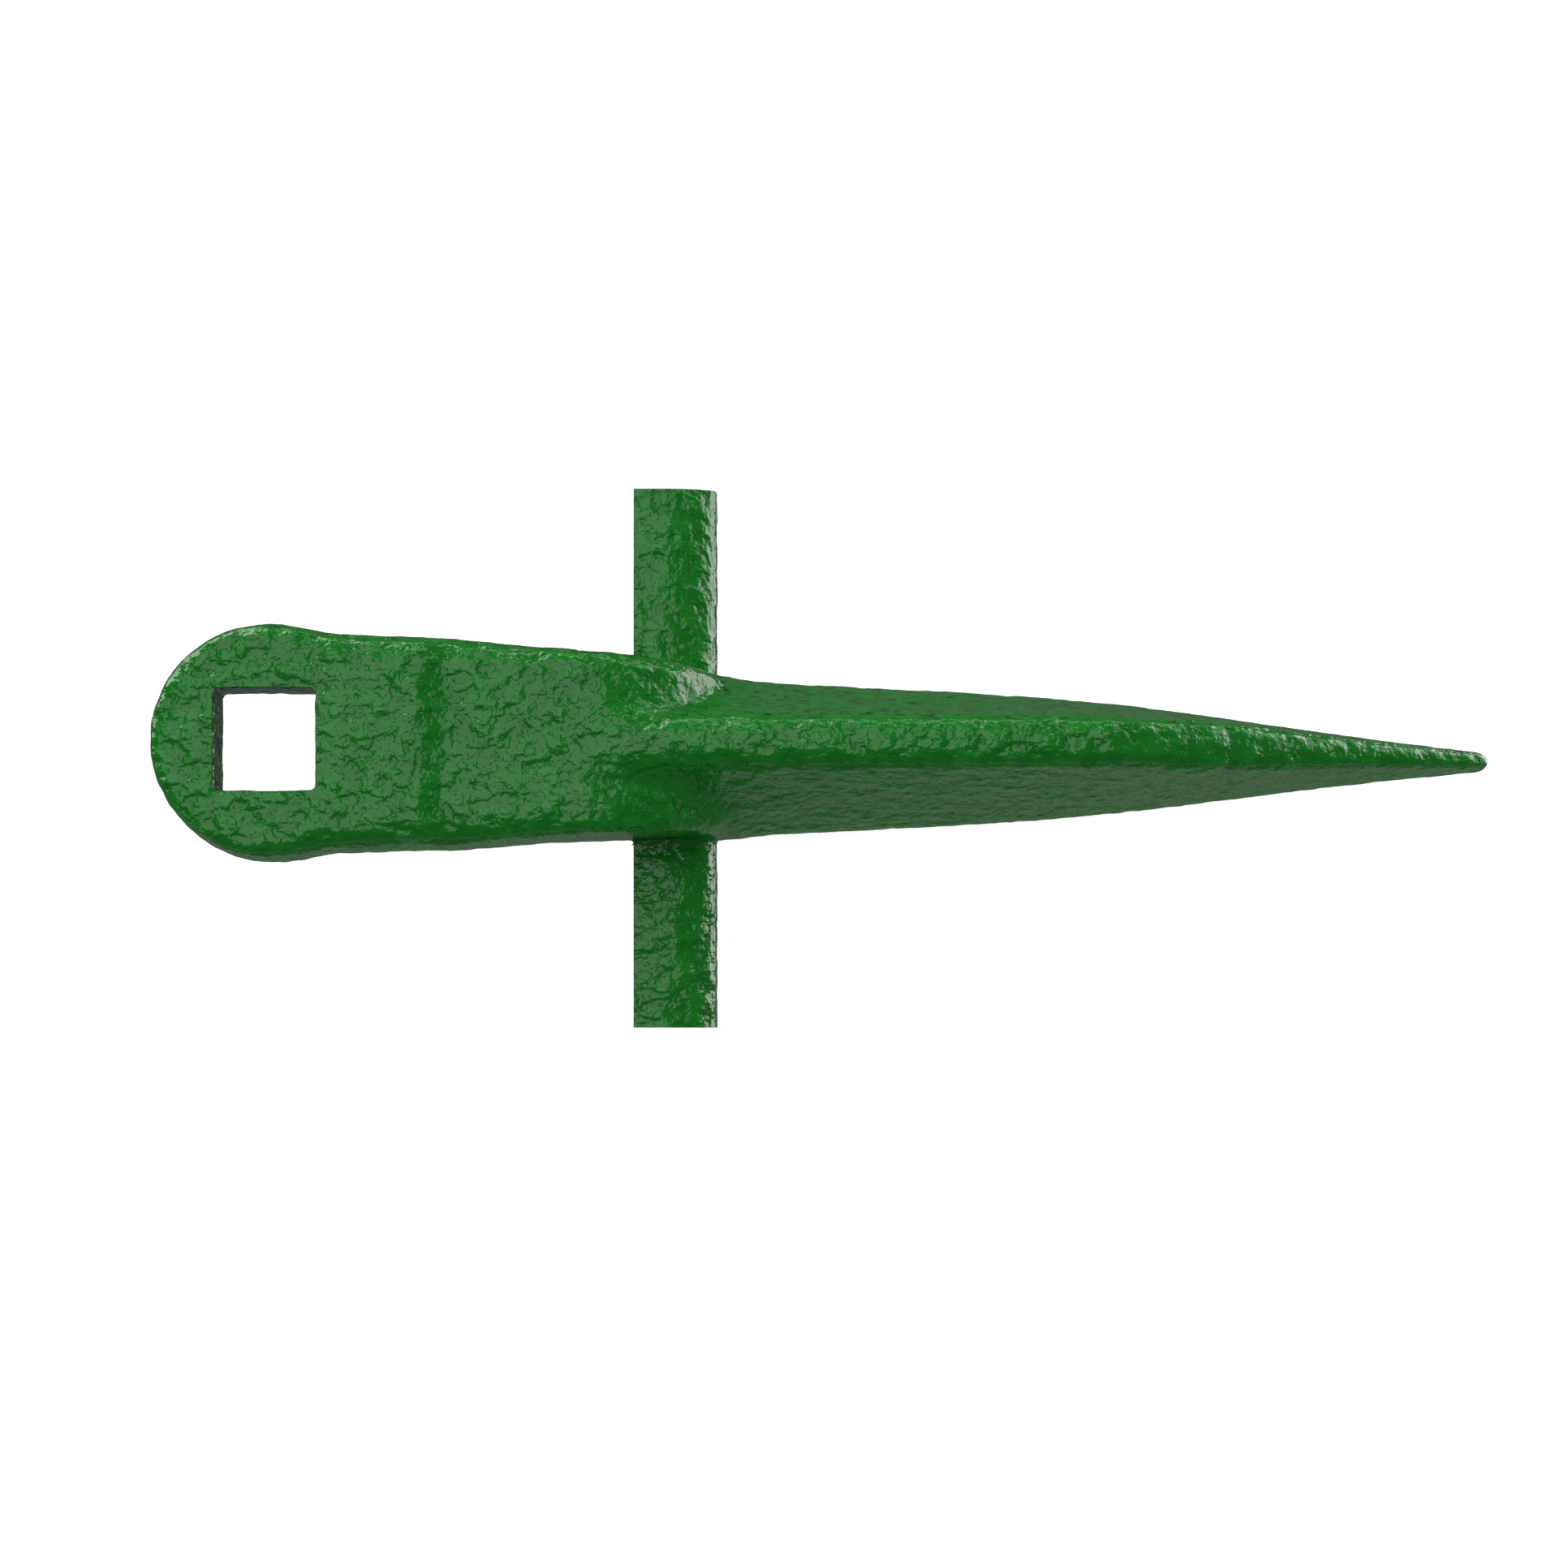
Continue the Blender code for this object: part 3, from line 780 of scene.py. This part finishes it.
def linear(red, green, blue):
    """Linear colour from the 0..255 values of a paint chart."""
    out = []
    for value in (red, green, blue):
        c = value / 255.0
        out.append(c / 12.92 if c <= 0.04045 else ((c + 0.055) / 1.055) ** 2.4)
    return (*out, 1.0)


PAINT_DARK = linear(11, 99, 20)
# Lighter green for the raised folds: partly the enamel's own tone, partly a painted sheen.
PAINT_FOLD_SHEEN = linear(15, 110, 25)
# Dark green laid on as painted shade on the steep +Y sides and in the bolt hole.
PAINTED_SHADE_GREEN = linear(8, 24, 10)
GROUND_STEEL = linear(112, 112, 110)
STAINED_STEEL = linear(84, 79, 74)
DIRTY_STEEL = linear(62, 56, 50)
BRIGHT_STEEL = linear(150, 150, 148)
SCUFFED_STEEL = linear(104, 100, 95)


def green_paint():
    """Glossy implement enamel that has flowed over a rough casting."""
    made = Nodes("green_enamel")
    place = made.place((1.0, 1.0, 1.0))
    drawn = made.place((0.78, 1.0, 1.0))
    bend = made.noise(drawn, 0.9, 2.0).outputs["Color"]
    folds = made.noise(made.shifted(drawn, bend, 0.9), 0.46, 1.5, 0.5).outputs["Fac"]
    grit = made.noise(made.shifted(place, bend, 0.6), 1.05, 2.0, 0.5).outputs["Fac"]
    steep = made.spread(made.reckon("ABSOLUTE", made.normal("Z")), 0.80, 0.50)
    height = paint_height(made, bend, folds, grit, steep)
    made.join(paint_colour(made, place, bend, folds, steep), made.shader.inputs["Base Color"])
    made.join(made.bump(height, 1.0, PAINT_BUMP), made.shader.inputs["Normal"])
    made.join(made.spread(grit, 0.3, 0.7, *PAINT_ROUGHNESS), made.shader.inputs["Roughness"])
    return made.material


def paint_height(made, bend, folds, grit, steep):
    """Folds and grit, calmer on steep sides and on the knife side, plus streaks on steep sides."""
    height = made.reckon("ADD", folds, made.product(grit, PAINT_GRIT_SHARE))
    height = made.product(height, made.spread(steep, 0.0, 1.0, 1.0, PAINT_STEEP_SHARE))
    knife_side = made.spread(made.normal("Z"), 0.0, -0.3, 1.0, PAINT_KNIFE_SIDE_SHARE)
    height = made.product(height, knife_side)
    streaky = made.shifted(made.place((0.95, 0.55, 0.55)), bend, 0.5)
    streaks = made.noise(streaky, 1.0, 2.0, 0.55).outputs["Fac"]
    streaks = made.product(streaks, PAINT_STREAK_SHARE)
    return made.reckon("ADD", height, made.product(streaks, steep))


def paint_colour(made, place, bend, folds, steep):
    """Green, lighter on the raised folds, partly as a painted sheen, and darker in broad patches,
    with painted shade over it: dark flecks on the steep sides facing +Y and dark streaks down the
    bolt hole walls.
    """
    broad = made.noise(place, 0.05, 2.0).outputs["Fac"]
    # Painted sheen: the raised folds are made lighter green, besides the real tone of the enamel.
    paint = made.blend(made.spread(folds, 0.38, 0.62), PAINT_DARK, PAINT_FOLD_SHEEN)
    paint = made.blend(made.spread(broad, 0.35, 0.65, 0.0, DARK_PATCH_SHARE), paint, PAINT_DARK)
    # Painted shade: dark flecks on the steep sides that face +Y.
    paint = made.blend(steep_side_shade(made, bend, steep), paint, PAINTED_SHADE_GREEN)
    # Painted shade: dark streaks down the walls of the bolt hole.
    return made.blend(hole_wall_shade(made), paint, PAINTED_SHADE_GREEN)


def steep_side_shade(made, bend, steep):
    """Share of painted shade: dark flecks in the pits of the steep sides that face +Y."""
    bent = made.shifted(made.place((0.6, 1.1, 1.1)), bend, 0.8)
    pits = made.noise(bent, 1.0, 3.0, 0.6).outputs["Fac"]
    flecks = made.product(made.spread(pits, 0.55, 0.63, 0.0, SIDE_SHADE_SHARE), steep)
    return made.product(flecks, made.spread(made.normal("Y"), 0.2, 0.5))


def hole_wall_shade(made):
    """Share of painted shade: dark streaks drawn down the walls of the bolt hole."""
    runs = made.noise(made.place((1.4, 1.4, 0.2)), 1.0, 3.0, 0.6).outputs["Fac"]
    flat = made.tree.nodes.new("ShaderNodeVectorMath")
    flat.operation = "LENGTH"
    made.join(made.place((1.0, 1.0, 0.0)), flat.inputs[0])
    near = made.spread(flat.outputs["Value"], BOLT_HOLE * 0.75, BOLT_HOLE * 0.71)
    upright = made.spread(made.reckon("ABSOLUTE", made.normal("Z")), 0.45, 0.2)
    wall_shade = made.product(made.spread(runs, 0.35, 0.6, 0.35, 0.95), upright)
    return made.product(wall_shade, near)


def hardened_steel():
    """Ground and hardened ledger plate: fine grinding marks along it, brown stains and dirt."""
    made = Nodes("hardened_steel")
    place = made.place((1.0, 1.0, 1.0))
    grind = made.noise(made.place((0.25, 9.0, 1.0)), 1.0, 3.0, 0.6).outputs["Fac"]
    stain = made.noise(place, 0.16, 4.0, 0.6).outputs["Fac"]
    dirt = made.noise(place, 1.4, 3.0).outputs["Fac"]
    colour = made.blend(made.spread(stain, 0.42, 0.66), GROUND_STEEL, STAINED_STEEL)
    colour = made.blend(made.spread(dirt, 0.55, 0.75, 0.0, 0.5), colour, DIRTY_STEEL)
    made.join(colour, made.shader.inputs["Base Color"])
    made.shader.inputs["Metallic"].default_value = 1.0
    ground = made.spread(grind, 0.3, 0.7, 0.30, 0.46)
    stained = made.spread(stain, 0.4, 0.7, 0.0, 0.12)
    made.join(made.reckon("ADD", ground, stained), made.shader.inputs["Roughness"])
    made.join(made.bump(grind, 0.35, 0.03), made.shader.inputs["Normal"])
    return made.material


def rivet_steel():
    """Bright drawn steel, faintly dented by the riveting punch."""
    made = Nodes("rivet_steel")
    place = made.place((1.0, 1.0, 1.0))
    dents = made.noise(place, 0.9, 2.0).outputs["Fac"]
    scuff = made.noise(made.place((3.0, 0.6, 1.0)), 1.6, 3.0).outputs["Fac"]
    colour = made.blend(made.spread(scuff, 0.4, 0.65), BRIGHT_STEEL, SCUFFED_STEEL)
    made.join(colour, made.shader.inputs["Base Color"])
    made.shader.inputs["Metallic"].default_value = 1.0
    made.join(made.spread(scuff, 0.3, 0.7, 0.28, 0.5), made.shader.inputs["Roughness"])
    made.join(made.bump(dents, 0.4, 0.08), made.shader.inputs["Normal"])
    return made.material


def pale_floor():
    """Matt floor that glows by itself, so that it comes out as white as the backdrop."""
    made = Nodes("pale_floor")
    made.shader.inputs["Base Color"].default_value = (FLOOR_GREY, FLOOR_GREY, FLOOR_GREY, 1.0)
    made.shader.inputs["Roughness"].default_value = FLOOR_ROUGHNESS
    made.shader.inputs["Emission Color"].default_value = (1.0, 1.0, 1.0, 1.0)
    made.shader.inputs["Emission Strength"].default_value = FLOOR_GLOW
    return made.material


# ---------------------------------------------------------------- pieces

def build_casting():
    """The whole painted casting, in the place of the CAD body."""
    verts, quads = casting_mesh()
    piece = make_mesh("guard_casting", verts, quads, green_paint())
    machine(piece, machining_tools())
    shade(piece, CASTING_SHARP_ANGLE)
    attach(piece, "root")
    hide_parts("guard_body")


def ledger_ring(x, half, notch, face, seat):
    """Section of the ledger plate, its side leaning in from the cutting edge to the seat."""
    land_half = half - LEDGER_NOTCH_SHARE * notch - LEDGER_LAND_LEAN
    right = [(half - notch, face), (land_half, face + LEDGER_LAND), (half - LEDGER_UNDERCUT, seat)]
    return [(x, y, z) for y, z in right] + [(x, -y, z) for y, z in reversed(right)]


def ledger_stations(rear, front):
    """(x, notch depth) along the plate: plain ends, with V-shaped serrations between them."""
    first = rear + LEDGER_PLAIN_END
    count = int((front - LEDGER_PLAIN_END - first) / LEDGER_TOOTH)
    places = [(rear, 0.0)]
    for i in range(count):
        places.append((first + i * LEDGER_TOOTH, 0.0))
        places.append((first + (i + 0.5) * LEDGER_TOOTH, LEDGER_NOTCH))
    places += [(first + count * LEDGER_TOOTH, 0.0), (front, 0.0)]
    return places


def rivet_hole_tool(rivet, face):
    """Countersunk through-hole round one rivet, as wide as the rivet and its clearance."""
    low, high = [np.array(corner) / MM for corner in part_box(rivet)]
    middle = (low[0] + high[0]) / 2
    head = (high[1] - low[1]) / 2 + FIT_GAP
    shank = RIVET_SHANK / 2 + FIT_GAP
    above = face - 1.0
    below = face + 6.0
    profile = [(head, above), (head, face + RIVET_RIM + FIT_GAP)]
    profile += [(shank, face + RIVET_HEAD_DEEP + FIT_GAP), (shank, below)]
    turn = [2 * math.pi * i / RIVET_SIDES for i in range(RIVET_SIDES)]
    shape = bmesh.new()
    rows = []
    for radius, z in profile:
        places = [(middle + radius * math.cos(a), radius * math.sin(a), z) for a in turn]
        rows.append([shape.verts.new([c * MM for c in place]) for place in places])
    return closed_tool("rivet_hole", shape, rows)


def build_ledger():
    """Serrated ledger plate with countersunk rivet holes, in the place of the plain CAD plate."""
    low, high = [np.array(corner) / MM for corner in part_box("ledger_plate")]
    rear, rear_half, face = low[0], high[1], low[2]
    front, seat = high[0], high[2]
    verts = []
    faces = []
    stations = ledger_stations(rear, front)
    for x, notch in stations:
        half = between(x, (rear, rear_half), (front, LEDGER_FRONT_HALF))
        verts += ledger_ring(x, half, notch, face, seat)
    count = len(verts) // len(stations)
    for ring in range(len(stations) - 1):
        for i in range(count):
            j = (i + 1) % count
            near = ring * count
            faces.append((near + i, near + count + i, near + count + j, near + j))
    faces.append(tuple(range(count)))
    faces.append(tuple(reversed(range(len(verts) - count, len(verts)))))
    piece = make_mesh("ledger_blade", np.array(verts), faces, hardened_steel())
    machine(piece, [rivet_hole_tool(name, face) for name in RIVETS])
    shade(piece, LEDGER_SHARP_ANGLE)
    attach(piece, "root")
    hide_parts("ledger_plate")


def shade(piece, sharp_angle):
    """Smooth shading, broken where two faces meet at more than sharp_angle degrees."""
    for face in piece.data.polygons:
        face.use_smooth = True
    piece.data.set_sharp_from_angle(angle=math.radians(sharp_angle))


def dress_cad_node(name, material):
    """Gives a CAD node that stays visible its material."""
    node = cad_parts[name]
    node.data.materials.clear()
    node.data.materials.append(material)


# ---------------------------------------------------------------- studio

def build_floor():
    """Floor under the crest of the guard, left out of the paint's reflections."""
    reach = FLOOR_REACH
    level = z_of(CREST_H)
    corners = [(-reach, -reach), (reach, -reach), (reach, reach), (-reach, reach)]
    verts = np.array([(x, y, level) for x, y in corners])
    floor = make_mesh("floor", verts, [(0, 1, 2, 3)], pale_floor())
    floor.visible_glossy = False


def softbox(name, place, turn, size, radiance, glossy=True):
    """Area light: turn is its Euler rotation in degrees, from facing straight down.

    Place and size are in metres, and its power follows from its size and its radiance.
    """
    width, length = size
    light = bpy.data.lights.new(name, "AREA")
    light.shape = "RECTANGLE"
    light.size = width
    light.size_y = length
    light.energy = radiance * math.pi * width * length
    made = bpy.data.objects.new(name, light)
    made.location = place
    made.rotation_euler = [math.radians(a) for a in turn]
    made.visible_glossy = glossy
    made.visible_camera = False
    bpy.context.scene.collection.objects.link(made)


def build_lights():
    """Large soft panels that the glossy paint mirrors; the fill isn't mirrored."""
    softbox("overhead", (-0.20, 0.33, 1.0), (0, 0, 0), (0.98, 1.26), 1.2)
    softbox("front_panel", (1.3, 0.93, -0.06), (0, 90, 0), (0.9, 1.8), 1.4)
    softbox("low_front_panel", (1.0, 0.5, -0.6), (0, 120, 0), (0.9, 1.1), 2.6)
    softbox("far_panel", (0.3, 1.5, 0.1), (-90, 0, 0), (1.8, 0.5), 1.8)
    softbox("under_panel", (0.1, -0.85, -1.0), (180, 0, 0), (2.4, 1.1), 0.14)
    softbox("left_panel", (-0.9, 0.9, 0.0), (0, -90, -45), (0.9, 1.4), 4.0)
    softbox("fill", (0.1, 0.5, 1.2), (-22, 0, 0), (1.5, 1.5), 1.7, False)


def build_world():
    """Dim room light, behind a plain white backdrop that only the camera sees."""
    world = bpy.data.worlds.new("studio")
    world.use_nodes = True
    tree = world.node_tree
    backdrop = tree.nodes["Background"]
    backdrop.inputs["Color"].default_value = (1.0, 1.0, 1.0, 1.0)
    by_camera = tree.nodes.new("ShaderNodeLightPath").outputs["Is Camera Ray"]
    strength = tree.nodes.new("ShaderNodeMapRange")
    strength.inputs["To Min"].default_value = ROOM_RADIANCE
    strength.inputs["To Max"].default_value = BACKDROP_RADIANCE
    tree.links.new(by_camera, strength.inputs["Value"])
    tree.links.new(strength.outputs["Result"], backdrop.inputs["Strength"])
    bpy.context.scene.world = world


def build_camera():
    """Camera that looks straight down at the guard through a shifted lens."""
    data = bpy.data.cameras.new("camera")
    data.sensor_width = CAMERA_SENSOR
    data.lens = CAMERA_LENS
    data.shift_y = CAMERA_SHIFT_Y
    data.clip_start = CAMERA_CLIP
    made = bpy.data.objects.new("camera", data)
    made.location = CAMERA_PLACE
    bpy.context.scene.collection.objects.link(made)
    bpy.context.scene.camera = made


build_casting()
build_ledger()
for rivet in RIVETS:
    dress_cad_node(rivet, rivet_steel())
build_floor()
build_lights()
build_world()
build_camera()
bpy.context.scene.view_settings.view_transform = "Standard"
